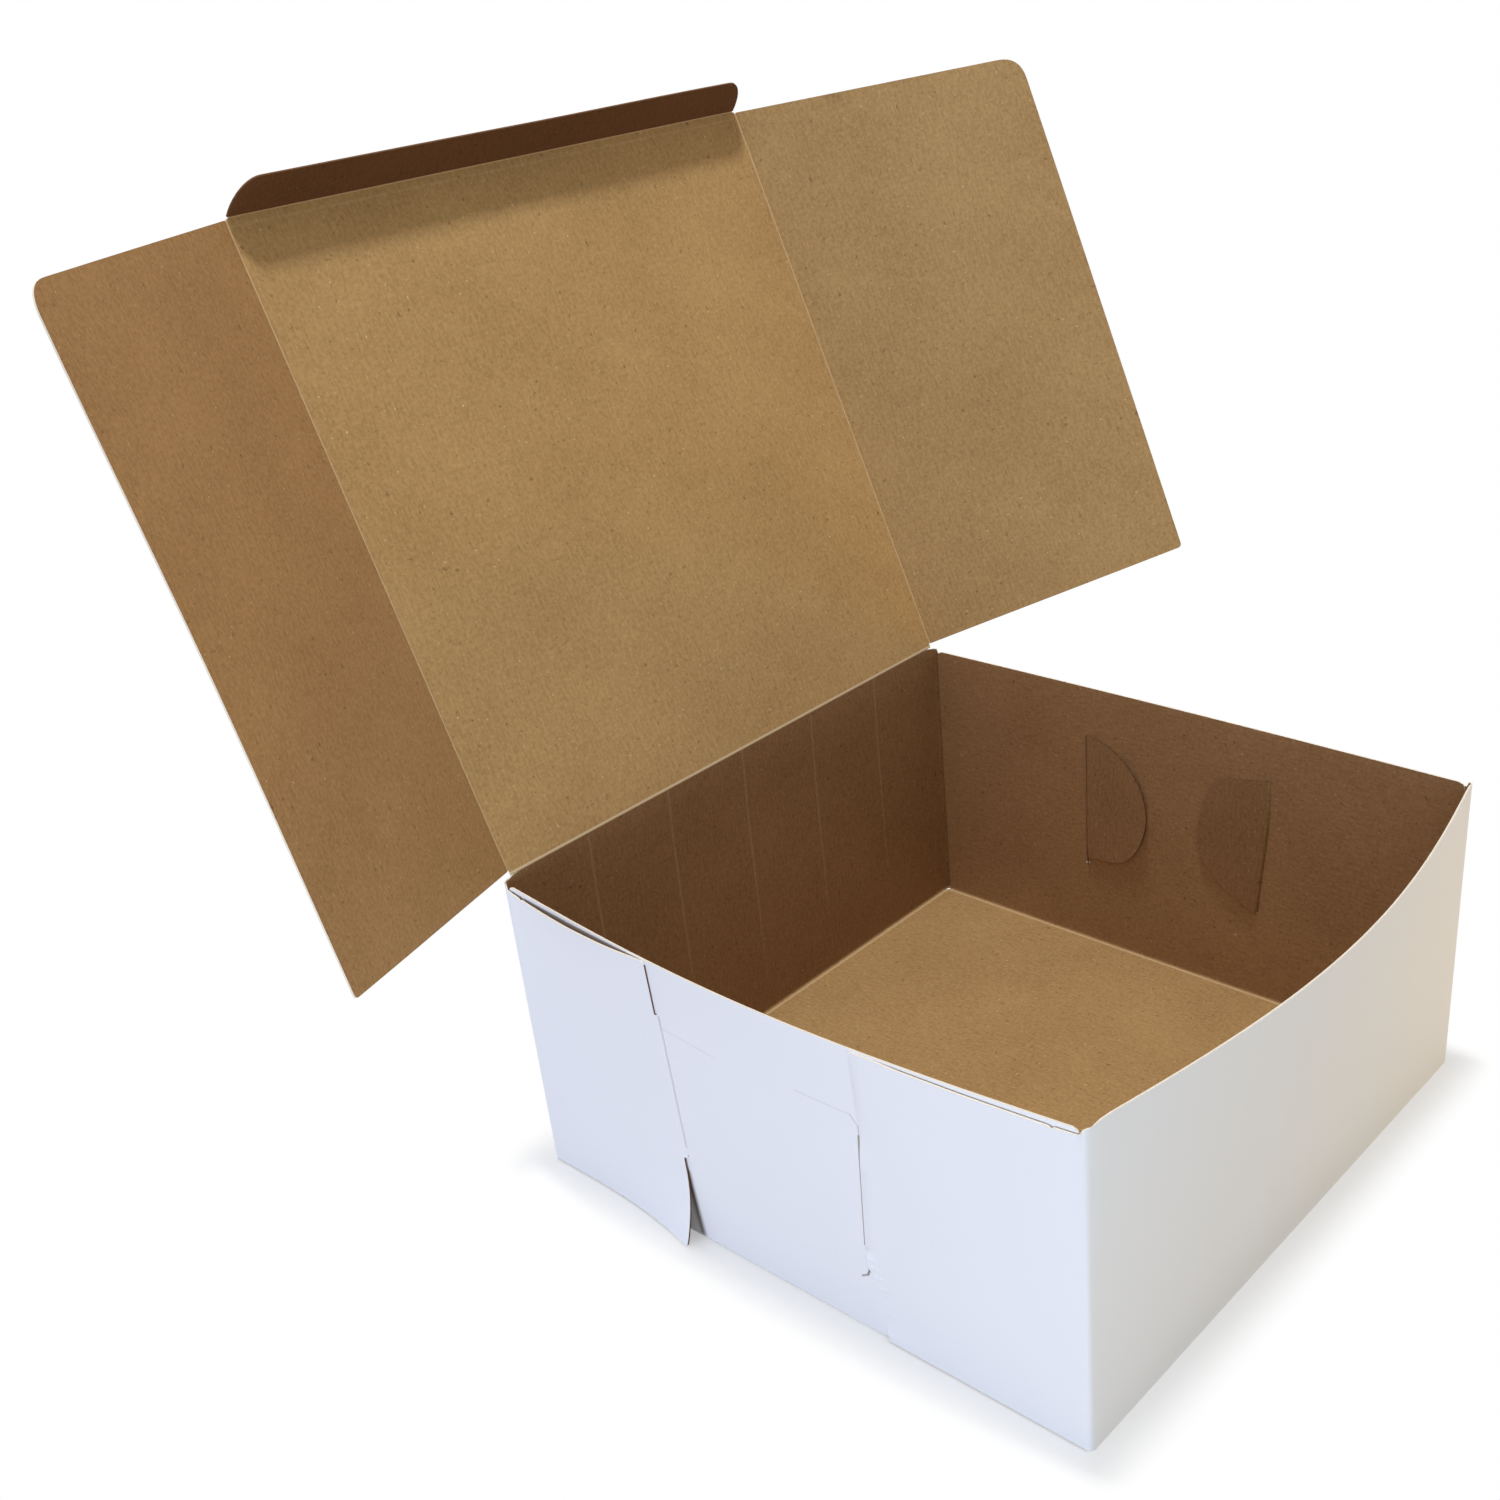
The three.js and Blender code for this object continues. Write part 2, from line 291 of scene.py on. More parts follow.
# paper fibre: fine grain, long fibres and slow mottling, over the flat blank's coordinates
fibreLooks = {
    "grainSize": 850.0,
    "mottleSize": 22.0,
    "fibreSize": 1500.0,
    "fibreStretch": (1.0, 0.16, 1.0),
    "grainShare": 0.6,
    "fibreShare": 0.4,
    # size, where the flecks start in the noise, and how fast they fill
    "dark": (520.0, 0.645, 9.0),
    "light": (780.0, 0.68, 9.0),
    "lightShift": (0.37, 0.61, 0.0),
}


def makeFibreGroup():
    group, given, out = newGroup("paperFibre", [
        ("Grain size", "NodeSocketFloat", fibreLooks["grainSize"]),
        ("Mottle size", "NodeSocketFloat", fibreLooks["mottleSize"]),
        ("Fleck share", "NodeSocketFloat", 0.3),
    ], [("Grain", "NodeSocketFloat"), ("Mottle", "NodeSocketFloat"), ("Dark flecks", "NodeSocketFloat"),
        ("Light flecks", "NodeSocketFloat")])
    uv = addNode(group, "ShaderNodeUVMap", uv_map="flat").outputs[0]

    def noiseOver(point, size, detail, **more):
        links = [("Vector", point), ("Scale", size), ("Detail", detail)]
        links += [(key.capitalize(), value) for key, value in more.items()]
        return addNode(group, "ShaderNodeTexNoise", links).outputs[0]

    def flecks(point, look):
        size, start, gain = look
        over = mathNode(group, "SUBTRACT", noiseOver(point, size, 2.0), start, clampIt=True)
        mask = mathNode(group, "MULTIPLY", over, gain, clampIt=True)
        return mathNode(group, "MULTIPLY", mask, given.outputs[2])

    stretched = addNode(group, "ShaderNodeVectorMath", [(0, uv), (1, fibreLooks["fibreStretch"])],
                        operation="MULTIPLY")
    moved = addNode(group, "ShaderNodeVectorMath", [(0, uv), (1, fibreLooks["lightShift"])], operation="ADD")
    grain = noiseOver(uv, given.outputs[0], 4.0, roughness=0.65)
    fibres = noiseOver(stretched.outputs[0], fibreLooks["fibreSize"], 3.0, distortion=0.6)
    both = mathNode(group, "ADD", mathNode(group, "MULTIPLY", grain, fibreLooks["grainShare"]),
                    mathNode(group, "MULTIPLY", fibres, fibreLooks["fibreShare"]))
    mottle = noiseOver(uv, given.outputs[1], 5.0, roughness=0.6)
    results = (both, mottle, flecks(uv, fibreLooks["dark"]), flecks(moved.outputs[0], fibreLooks["light"]))
    for socket, result in zip(out.inputs, results):
        group.links.new(result, socket)
    return group


# a soft line across the board where one flat coordinate comes near a value
def makeScoreGroup():
    group, given, out = newGroup("scoreLine", [
        ("Coordinate", "NodeSocketFloat", 0.0), ("Centre", "NodeSocketFloat", 0.0),
        ("Width", "NodeSocketFloat", 0.001)], [("Mask", "NodeSocketFloat")])
    away = mathNode(group, "ABSOLUTE", mathNode(group, "SUBTRACT", given.outputs[0], given.outputs[1]))
    near = mathNode(group, "SUBTRACT", 1.0, mathNode(group, "DIVIDE", away, given.outputs[2]), clampIt=True)
    group.links.new(near, out.inputs[0])
    return group


# the same along a short line between two points of the flat blank
def makeSegmentGroup():
    group, given, out = newGroup("scoreSegment", [
        ("Point", "NodeSocketVector", None), ("From", "NodeSocketVector", None),
        ("To", "NodeSocketVector", None), ("Width", "NodeSocketFloat", 0.001)], [("Mask", "NodeSocketFloat")])

    def vectorNode(operation, first, second):
        return addNode(group, "ShaderNodeVectorMath", [(0, first), (1, second)], operation=operation)

    reach = vectorNode("SUBTRACT", given.outputs[0], given.outputs[1]).outputs[0]
    run = vectorNode("SUBTRACT", given.outputs[2], given.outputs[1]).outputs[0]
    share = mathNode(group, "DIVIDE", vectorNode("DOT_PRODUCT", reach, run).outputs["Value"],
                     vectorNode("DOT_PRODUCT", run, run).outputs["Value"], clampIt=True)
    nearest = addNode(group, "ShaderNodeVectorMath", [(0, run), ("Scale", share)], operation="SCALE")
    away = vectorNode("DISTANCE", reach, nearest.outputs[0]).outputs["Value"]
    near = mathNode(group, "SUBTRACT", 1.0, mathNode(group, "DIVIDE", away, given.outputs[3]), clampIt=True)
    group.links.new(near, out.inputs[0])
    return group


fibreGroup = makeFibreGroup()
scoreGroup = makeScoreGroup()
segmentGroup = makeSegmentGroup()

# colours, and tones that a panel's kraft is multiplied by: the tones are painted light and shade, each
# panel's copy of the kraft made lighter or darker for how light falls on it
boardLooks = {
    "kraft": colour(170, 136, 90),
    "kraftDeep": colour(157, 123, 79),
    "kraftPale": colour(194, 161, 113),
    "kraftDark": colour(130, 98, 61),
    "fleckDark": colour(96, 68, 42),
    "fleckLight": colour(232, 212, 176),
    "flapLightTint": (1.0, 1.05, 1.1, 1),
    "lidLightTone": (1.06, 1.07, 1.03, 1),
    "baseLightTone": (1.07, 1.07, 1.05, 1),
    "sideShadeTint": (1.03, 1.01, 1.22, 1),
    "backTabShadeTone": (0.9, 0.88, 1.06, 1),
    "frontTabShadeTone": (0.84, 0.8, 0.96, 1),
    "wallShadeTone": colour(222, 211, 214),
    "leftShadeTone": colour(238, 228, 220),
    "tuckShadeTone": colour(158, 136, 130),
    "grainShare": 0.3,
    "kraftFlecks": 0.55,
    "mottleRange": (0.34, 0.66),
    "grainRange": (0.4, 0.6),
    "coated": colour(228, 230, 236),
    "coatedShade": colour(222, 225, 232),
    "coatedGrain": 700.0,
    "coatedMottle": 14.0,
    "coatedFlecks": 0.02,
    "gapShadow": colour(88, 73, 62),
    "edge": colour(236, 229, 218),
    "edgeDeep": colour(219, 206, 184),
    "edgeGrain": 3000.0,
    "edgeRough": 0.9,
    # roughness and what the fibre adds to it, specular level, bump strength and distance
    "kraftSurface": (0.78, 0.14, 0.25, 0.35, 0.00012),
    "coatedSurface": (0.4, 0.16, 0.35, 0.16, 0.00008),
}


def startMaterial(name):
    material = bpy.data.materials.new(name)
    material.use_nodes = True
    tree = material.node_tree
    return material, tree, tree.nodes["Principled BSDF"]


def scoreMask(tree, coordinate, centre, width):
    links = [("Coordinate", coordinate), ("Centre", centre), ("Width", width)]
    return addNode(tree, "ShaderNodeGroup", links, node_tree=scoreGroup).outputs[0]


def finishBoard(tree, shader, base, fibre, roughener, surface):
    rough, more, specular, strength, distance = surface
    tree.links.new(base, shader.inputs["Base Color"])
    roughness = mathNode(tree, "ADD", mathNode(tree, "MULTIPLY", fibre.outputs[roughener], more), rough)
    tree.links.new(roughness, shader.inputs["Roughness"])
    shader.inputs["Specular IOR Level"].default_value = specular
    bump = addNode(tree, "ShaderNodeBump", [("Strength", strength), ("Distance", distance),
                                            ("Height", fibre.outputs["Grain"])])
    tree.links.new(bump.outputs[0], shader.inputs["Normal"])


def strongest(tree, masks):
    total = masks[0]
    for mask in masks[1:]:
        total = mathNode(tree, "MAXIMUM", total, mask)
    return total


# each line: axis, centre, width, strength, and where it fades in along the other axis; lines lighten the
# kraft, both as real score marks and as painted highlights along folds
def makeKraft(name, lines=(), lightAndShadeTone=None):
    material, tree, shader = startMaterial(name)
    fibre = addNode(tree, "ShaderNodeGroup", [("Fleck share", boardLooks["kraftFlecks"])],
                    node_tree=fibreGroup)

    def spread(output, span):
        node = addNode(tree, "ShaderNodeMapRange", [(0, fibre.outputs[output]), (1, span[0]), (2, span[1])])
        return node.outputs[0]

    patches = spread("Mottle", boardLooks["mottleRange"])
    base = mixColours(tree, patches, boardLooks["kraftDeep"], boardLooks["kraft"])
    grain = spread("Grain", boardLooks["grainRange"])
    speckle = mixColours(tree, grain, boardLooks["kraftDark"], boardLooks["kraftPale"])
    base = mixColours(tree, boardLooks["grainShare"], base, speckle)
    base = mixColours(tree, fibre.outputs["Dark flecks"], base, boardLooks["fleckDark"])
    base = mixColours(tree, fibre.outputs["Light flecks"], base, boardLooks["fleckLight"])
    # multiply in the panel's tone of painted light and shade
    if lightAndShadeTone:
        base = mixColours(tree, 1.0, base, lightAndShadeTone, blend="MULTIPLY")
    if lines:
        uv = addNode(tree, "ShaderNodeUVMap", uv_map="flat").outputs[0]
        split = addNode(tree, "ShaderNodeSeparateXYZ", [(0, uv)])
        masks = []
        for axis, centre, width, strength, fadeLow, fadeHigh in lines:
            mask = scoreMask(tree, split.outputs[axis], centre * mm, width * mm)
            mask = mathNode(tree, "MULTIPLY", mask, strength)
            if fadeHigh:
                fade = addNode(tree, "ShaderNodeMapRange", [(0, split.outputs[1 - axis]), (1, fadeLow * mm),
                                                            (2, fadeHigh * mm)])
                mask = mathNode(tree, "MULTIPLY", mask, fade.outputs[0])
            masks.append(mask)
        base = mixColours(tree, strongest(tree, masks), base, boardLooks["fleckLight"])
    finishBoard(tree, shader, base, fibre, "Grain", boardLooks["kraftSurface"])
    return material


# each segment: two ends on the flat blank, width, strength; segments darken the board as painted shadow lines
def makeCoated(name, segments=()):
    material, tree, shader = startMaterial(name)
    fibre = addNode(tree, "ShaderNodeGroup", [
        ("Grain size", boardLooks["coatedGrain"]), ("Mottle size", boardLooks["coatedMottle"]),
        ("Fleck share", boardLooks["coatedFlecks"])], node_tree=fibreGroup)
    base = mixColours(tree, fibre.outputs["Mottle"], boardLooks["coatedShade"], boardLooks["coated"])
    base = mixColours(tree, fibre.outputs["Dark flecks"], base, boardLooks["fleckDark"])
    if segments:
        uv = addNode(tree, "ShaderNodeUVMap", uv_map="flat").outputs[0]
        masks = []
        for u1, v1, u2, v2, width, strength in segments:
            node = addNode(tree, "ShaderNodeGroup", [
                ("Point", uv), ("From", (u1 * mm, v1 * mm, 0)), ("To", (u2 * mm, v2 * mm, 0)),
                ("Width", width * mm)], node_tree=segmentGroup)
            masks.append(mathNode(tree, "MULTIPLY", node.outputs[0], strength))
        # painted shadow lines in the gap shadow colour
        base = mixColours(tree, strongest(tree, masks), base, boardLooks["gapShadow"])
    finishBoard(tree, shader, base, fibre, "Mottle", boardLooks["coatedSurface"])
    return material


def makeEdge(name):
    material, tree, shader = startMaterial(name)
    fibre = addNode(tree, "ShaderNodeGroup", [("Grain size", boardLooks["edgeGrain"])], node_tree=fibreGroup)
    base = mixColours(tree, fibre.outputs["Grain"], boardLooks["edgeDeep"], boardLooks["edge"])
    tree.links.new(base, shader.inputs["Base Color"])
    shader.inputs["Roughness"].default_value = boardLooks["edgeRough"]
    return material


scoreX = (-68.1, -34.5, -0.6, 33.1, 66.4)
# faint score lines on the back wall, and a painted highlight along the wall's foot fold
backScoresAndFoldHighlight = [(0, x, 0.7, 0.13, 6.0, 60.0) for x in scoreX] + [(1, 0.5, 0.9, 0.5, 0, 0)]
# painted highlights along the base's folds
foldLineY, foldLineX = wrapY - 1.4, sideWallX - 1.2
baseFoldHighlights = [(1, foldLineY, 0.7, 0.45, 0, 0), (1, -foldLineY, 0.7, 0.4, 0, 0),
             (0, foldLineX, 0.7, 0.45, 0, 0), (0, -foldLineX, 0.7, 0.4, 0, 0)]
# copies of one kraft per panel, each lightened or darkened by its painted light and shade tone
kraftInside = makeKraft("kraftInside", (), boardLooks["flapLightTint"])
kraftBack = makeKraft("kraftBackWall", backScoresAndFoldHighlight, boardLooks["wallShadeTone"])
# the tuck flap's kraft is darkened with painted shade, and the same dark kraft paints shade on the tabs' cut
# edges
kraftShadeDark = makeKraft("kraftShadeDark", (), boardLooks["tuckShadeTone"])
kraftBase = makeKraft("kraftBase", baseFoldHighlights, boardLooks["baseLightTone"])
kraftSide = makeKraft("kraftSideWall", (), boardLooks["sideShadeTint"])
kraftLeft = makeKraft("kraftLeftFlap", (), boardLooks["leftShadeTone"])
kraftBackTab = makeKraft("kraftBackTab", (), boardLooks["backTabShadeTone"])
kraftFrontTab = makeKraft("kraftFrontTab", (), boardLooks["frontTabShadeTone"])
# painted highlight lines along the crease strips' folds
kraftCrease = makeKraft("kraftCrease", [(0, 0.0, 0.42, 0.4, 0, 0)])
kraftHinge = makeKraft("kraftHinge", [(0, 0.05, 0.8, 0.85, 0, 0)])
coatedWhite = makeCoated("coatedWhite")
cutEdge = makeEdge("cutEdge")
print("materials ready")


# the ears of the end walls, their half-moon tabs and the slits they pass through, in mm
ears = {
    "slitOffset": 35.4,
    "drop": 1.4,
    "rise": 0.9,
    "corner": 1.3,
    "backOverlap": 0.8,
    "frontOverlap": 0.1,
    "footLift": 0.4,
    "footCut": 0.6,
    # the rim from the free edge to the corner: run from the corner, and rise
    "rim": [(30.0, 0.2), (8.0, 0.0), (7.2, -0.5), (6.4, 0.0), (0.0, 0.1)],
    # how far along the board each side of a slit the step through it takes
    "ramp": 0.45,
    # reach from the slit, and height
    "backTab": [(0, 82), (8.6, 79.6), (16.2, 74.6), (21.6, 68), (24, 61), (24.3, 54), (22.3, 46.5),
                (18.4, 39.8), (12.5, 35.6), (6, 34.8), (1.6, 34.2), (0, 31)],
    "frontTab": [(0, 83), (10, 80.8), (18.6, 78.2), (22.4, 72), (24, 64), (24.2, 55), (21.4, 47.5),
                 (14.5, 40.6), (7, 36), (0, 32.4)],
    # the tabs lift off the wall towards their round edge
    "backTabLift": 0.75,
    "frontTabLift": 0.2,
    "tabLiftFrom": 4.0,
    "tabLiftOver": 20.0,
    # the front slits lean away from their corner towards the base, and end in a small hook
    "slitLean": 4.0,
    "leanTop": 72.0,
    "leanFoot": 26.0,
    "leanEnd": 8.0,
    # the ears lie tight on the walls beside their slits, and less so above the tabs
    "press": 0.6,
    "pressFrom": 52.0,
    "pressOver": 12.0,
    "pressFade": 4.0,
    "backPressLow": 30.0,
    "frontPressLow": 3.0,
    "topPressFrom": 77.0,
    "topPressShare": 0.55,
    # the back left ear bulges off its wall, and its foot stands out
    "standOff": 1.3,
    "footFlare": 6.0,
    "footFlareHeight": 27.0,
}
earTop = sideRim - ears["drop"]


def leanAt(z, leaning):
    if not leaning or z >= ears["leanTop"]:
        return 0.0
    if z > ears["leanFoot"]:
        return ears["slitLean"] * (ears["leanTop"] - z) / (ears["leanTop"] - ears["leanFoot"])
    return ears["slitLean"] * max(0, (z - ears["leanFoot"] + ears["leanEnd"]) / ears["leanEnd"])


# how far the board is through a slit, from 0 outside to 1 inside
def throughSlit(y):
    return ease((ears["slitOffset"] + ears["ramp"] - y) / (2 * ears["ramp"]))


def softCurve(points, steps=4):
    ends = [points[0], *points, points[-1]]
    found = []
    for corners in zip(ends, ends[1:], ends[2:], ends[3:]):
        for i in range(steps):
            t = i / steps
            found.append(tuple(0.5 * (2 * q + (r - p) * t + (2 * p - 5 * q + 4 * r - w) * t * t
                                      + (3 * q - p - 3 * r + w) * t ** 3) for p, q, r, w in zip(*corners)))
    return found + [points[-1]]


# place, outward direction, bow, step through the slit and side of the box, at a point of the flat wrap
def wrapPlan(u, v, endBow, leaning):
    side = 1 if u >= 0 else -1
    run = abs(u)
    if run <= endHalf:
        return u, wrapY, 0.0, 1.0, bowAt(endBow, u, blank["width"]), 0.0, 0
    run -= endHalf
    if run <= bendRun:
        angle = math.pi / 2 - run / blank["cornerRadius"]
        r = blank["cornerRadius"]
        return (side * (endHalf + r * math.cos(angle)), straightEnd + r * math.sin(angle),
                side * math.cos(angle), math.sin(angle), 0.0, 0.0, side)
    y = straightEnd - (run - bendRun)
    share = clamp((straightEnd - y) / (straightEnd - ears["slitOffset"]), 0, 1)
    step = -(wrapX - tabX) * throughSlit(y)
    y -= leanAt(v, leaning) * share
    bow = bowAt(blank["leftBow"] if side < 0 else blank["rightBow"], y, blank["depth"])
    return side * wrapX, y, side, 0.0, bow, step, side


def runOf(y):
    return endHalf + bendRun + (straightEnd - y)


def wrapOutline(rim, tab, freeEdge, neck):
    freeTop = earTop + ears["rise"]
    high, low = tab[0][1], tab[-1][1]
    cornerRun = runOf(straightEnd)
    r = ears["corner"]
    foot, cut = ears["footLift"], ears["footCut"]
    rightSide = [(cornerRun - 1.0, 0.0), (cornerRun + 0.5, foot), (freeEdge - cut, foot),
                 (freeEdge, foot + cut), (freeEdge, low), (neck, low)]
    rightSide += [(neck + reach, z) for reach, z in softCurve(tab[::-1])[1:-1]]
    rightSide += [(neck, high), (freeEdge, high), (freeEdge, freeTop - r)]
    for i in range(1, 7):
        angle = math.radians(15 * i)
        rightSide.append((freeEdge - r + r * math.cos(angle), freeTop - r + r * math.sin(angle)))
    rightSide += [(cornerRun + run, earTop + rise) for run, rise in ears["rim"]]
    rightSide += [(cornerRun - 0.6, sideRim + 0.3), (endHalf - 3, rim - 0.3), (endHalf - 6, rim)]
    return rightSide + [(-u, v) for u, v in reversed(rightSide)]


def tabLiftAt(y, isBack):
    most = ears["backTabLift" if isBack else "frontTabLift"]
    return most * ease((ears["slitOffset"] - ears["tabLiftFrom"] - y) / ears["tabLiftOver"])


def pressAt(y, z, isBack):
    level = ease((z - ears["backPressLow" if isBack else "frontPressLow"]) / ears["pressFade"])
    level *= 1 - (1 - ears["topPressShare"]) * ease((z - ears["topPressFrom"]) / ears["pressFade"])
    return ears["press"] * ease((ears["pressFrom"] - y) / ears["pressOver"]) * level * (1 - throughSlit(y))


def footAt(y, z):
    along = clamp((wrapY - y) / (wrapY - ears["slitOffset"]), 0, 1)
    return ears["footFlare"] * along ** 3 * (1 - min(1, z / ears["footFlareHeight"])) ** 2


def standOffAt(y, z):
    along = clamp((straightEnd - y) / (straightEnd - ears["slitOffset"] - ears["ramp"]), 0, 1)
    return ears["standOff"] * math.sin(math.pi * along) * bowShare(z)


def makeWrap(name, endBow, rim, mirrorY, isBack, inside, tabInside):
    def place(u, v):
        x, y, nx, ny, bow, step, side = wrapPlan(u, v, endBow, not isBack)
        share = bowShare(v)
        if isBack and not side:
            share *= 1 - ease((v - blank["straightFrom"]) / blank["straightOver"])
        out = bow * share + step
        onWall = side and ny == 0
        if side:
            out -= tabLiftAt(y, isBack)
        if onWall:
            out -= pressAt(y, v, isBack)
        if isBack and side < 0:
            out += footAt(y, v) + (standOffAt(y, v) if onWall else 0)
        return x + nx * out, mirrorY * (y + ny * out), v

    offset, ramp = ears["slitOffset"], ears["ramp"]
    bends = [s * (endHalf + bendRun * k / 4) for s in (-1, 1) for k in range(5)]
    ramps = [s * runOf(offset + ramp * k / 3) for s in (-1, 1) for k in range(-3, 4)]
    tab = ears["backTab" if isBack else "frontTab"]
    neck = runOf(offset - ramp)
    freeEdge = runOf(offset + ears["backOverlap" if isBack else "frontOverlap"])
    return foldBoard(name, wrapOutline(rim, tab, freeEdge, neck), place, cells["wrap"],
                     # the tabs' cut edges take the dark tuck kraft, a painted shadow along their raised round
                     # edges
                     [coatedWhite, inside, cutEdge, tabInside, kraftShadeDark], linesU=bends + ramps,
                     linesV=[blank["foldRise"], tab[0][1], tab[-1][1]], outward=-mirrorY,
                     ownPart=lambda u, onEdge: abs(u) > (freeEdge - 0.05 if onEdge else neck))


# base and side walls in one strip, with the slits as holes
cradleSizes = {
    "rimCorner": 2.0,
    "rimCornerCut": 0.6,
    "slitHalfWidth": 0.72,
    "slitInset": 0.4,
    "slitSteps": 10,
    # painted shadow lines on the outside where slits and tabs show, for the shade in their gaps: height and
    # depth of both ends, width, strength
    "shadowMarks": [(77.6, 36.7, 76.4, 14.0, 0.45, 0.12), (78.2, -15.0, 78.0, -33.2, 0.45, 0.16),
              (78.0, -33.2, 75.2, -35.3, 0.4, 0.35), (75.2, -35.3, 71.0, -35.4, 0.4, 0.5),
              (33.4, -32.5, 23.6, -31.8, 0.75, 1.0), (23.6, -31.8, 21.6, -30.9, 0.6, 1.0),
              (21.6, -30.9, 20.2, -28.8, 0.45, 0.9)],
    # painted shadow on the strip under the back left ear's flared foot, for the shade in the gap there
    "leftFootShadow": (25.0, 37.0, 2.0, 35.8, 2.0, 1.0),
}
bendR = blank["baseRadius"]
flatHalf = sideWallX - bendR
wallBend = bendR * math.pi / 2


def makeCradle():
    def place(u, v):
        side = 1 if u >= 0 else -1
        run = abs(u)
        if run <= flatHalf:
            return u, v, half
        run -= flatHalf
        if run <= wallBend:
            angle = run / bendR
            return side * (flatHalf + bendR * math.sin(angle)), v, half + bendR * (1 - math.cos(angle))
        z = half + bendR + (run - wallBend)
        bow = blank["leftBow"] if side < 0 else blank["rightBow"]
        return side * (sideWallX + bowAt(bow, v, blank["depth"]) * bowShare(z)), v, z

    def runAt(z):
        return flatHalf + wallBend + z - half - bendR

    def slitRing(side, end, tab):
        low, high = tab[-1][1] + cradleSizes["slitInset"], tab[0][1] - cradleSizes["slitInset"]
        if end < 0:
            high = ears["leanTop"]
        middle = []
        for i in range(cradleSizes["slitSteps"] + 1):
            z = low + (high - low) * i / cradleSizes["slitSteps"]
            middle.append((runAt(z), ears["slitOffset"] - leanAt(max(z, ears["leanFoot"]), end < 0)))
        w = cradleSizes["slitHalfWidth"]
        ring = [(side * u, end * (v + w)) for u, v in middle]
        return ring + [(side * u, end * (v - w)) for u, v in reversed(middle)]

    rimRun = runAt(sideRim)
    r, cornerCut = cradleSizes["rimCorner"], cradleSizes["rimCornerCut"]
    quarter = [(flatHalf - 2.0, wrapY), (flatHalf - 0.2, sideWallEnd), (rimRun - r, sideWallEnd),
               (rimRun - cornerCut, sideWallEnd - cornerCut), (rimRun, sideWallEnd - r)]
    outline = quarter + [(u, -v) for u, v in reversed(quarter)]
    outline += [(-u, -v) for u, v in quarter] + [(-u, v) for u, v in reversed(quarter)]
    holes = [slitRing(side, end, tab) for side in (-1, 1)
             for end, tab in ((1, ears["backTab"]), (-1, ears["frontTab"]))]
    bends = [s * (flatHalf + wallBend * k / 4) for s in (-1, 1) for k in range(5)]
    rises = [s * runAt(blank["foldRise"]) for s in (-1, 1)]
    shadowMarks = [(side, *mark) for mark in cradleSizes["shadowMarks"] for side in (-1, 1)]
    shadowMarks.append((-1, *cradleSizes["leftFootShadow"]))
    outside = makeCoated("coatedSides", [(side * runAt(z1), y1, side * runAt(z2), y2, width, strength)
                                         for side, z1, y1, z2, y2, width, strength in shadowMarks])
    wallsFrom = flatHalf + wallBend / 2 - 0.01
    materials = [outside, kraftBase, cutEdge, kraftSide, cutEdge]
    return foldBoard("cradle", outline, place, cells["cradle"], materials, holes=holes, linesU=bends + rises,
                     outward=-1, ownPart=lambda u, onEdge: not onEdge and abs(u) > wallsFrom)


def makeTray():
    back = makeWrap("backWrap", blank["backBow"], backRim, 1, True, kraftBack, kraftBackTab)
    front = makeWrap("frontWrap", blank["frontBow"], blank["frontRim"], -1, False, kraftInside, kraftFrontTab)
    cradle = makeCradle()
    tray = joinBoards("trayBoard", [cradle, back, front])
    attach(tray, "tray")
    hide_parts("tray")


makeTray()
print("tray folded")

# the lid's own directions at rest: along it, and towards the inside of the box
openAngle = math.radians(blank["lidOpen"])
hingePoint = Vector((0, wrapY, blank["hingeHeight"]))
lidAlong = Vector((0, -math.cos(openAngle), math.sin(openAngle)))
lidInside = Vector((0, -math.sin(openAngle), -math.cos(openAngle)))
frontCrease = hingePoint + lidAlong * blank["lidLength"]

# how the panels are out of flat, in mm
sag = {
    "grain": 0.012,
    "seed": 3.7,
    "lid": 1.2,
    "lidMargin": 25.0,
    "sideFlap": 0.8,
    "sideFlapCurl": 0.36,
    "sideFlapFrom": 30.0,
    "tuckFlap": 0.5,
    "tuckFlapFrom": 8.0,
}


def warp(u, v, amount):
    return amount * noise.noise(Vector((u * sag["grain"], v * sag["grain"], sag["seed"])))


def makeLid():
    x = creaseX - blank["setback"]
    s0, s1 = blank["setback"], blank["lidLength"] - blank["setback"]

    def place(u, v):
        edge = clamp(min(x - abs(u), v - s0, s1 - v) / sag["lidMargin"], 0, 1)
        return hingePoint + lidAlong * v + Vector((u, 0, 0)) + lidInside * warp(u, v, sag["lid"]) * edge

    # a painted highlight line just below the tuck crease
    inner = makeKraft("kraftLid", [(1, s1 - 2.2, 0.5, 0.1, 0, 0)], boardLooks["lidLightTone"])
    lid = foldBoard("lidBoard", [(-x, s0), (x, s0), (x, s1), (-x, s1)], place, cells["lid"],
                    [coatedWhite, inner, cutEdge], outward=-1)
    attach(lid, "lid")
    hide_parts("lid_panel")


def flapFrame(side):
    fold = math.radians(blank["leftFold"] if side < 0 else blank["rightFold"])
    outward = Vector((side, 0, 0))
    across = outward * math.cos(fold) + lidInside * math.sin(fold)
    inside = lidInside * math.cos(fold) - outward * math.sin(fold)
    return hingePoint + outward * creaseX, across, inside


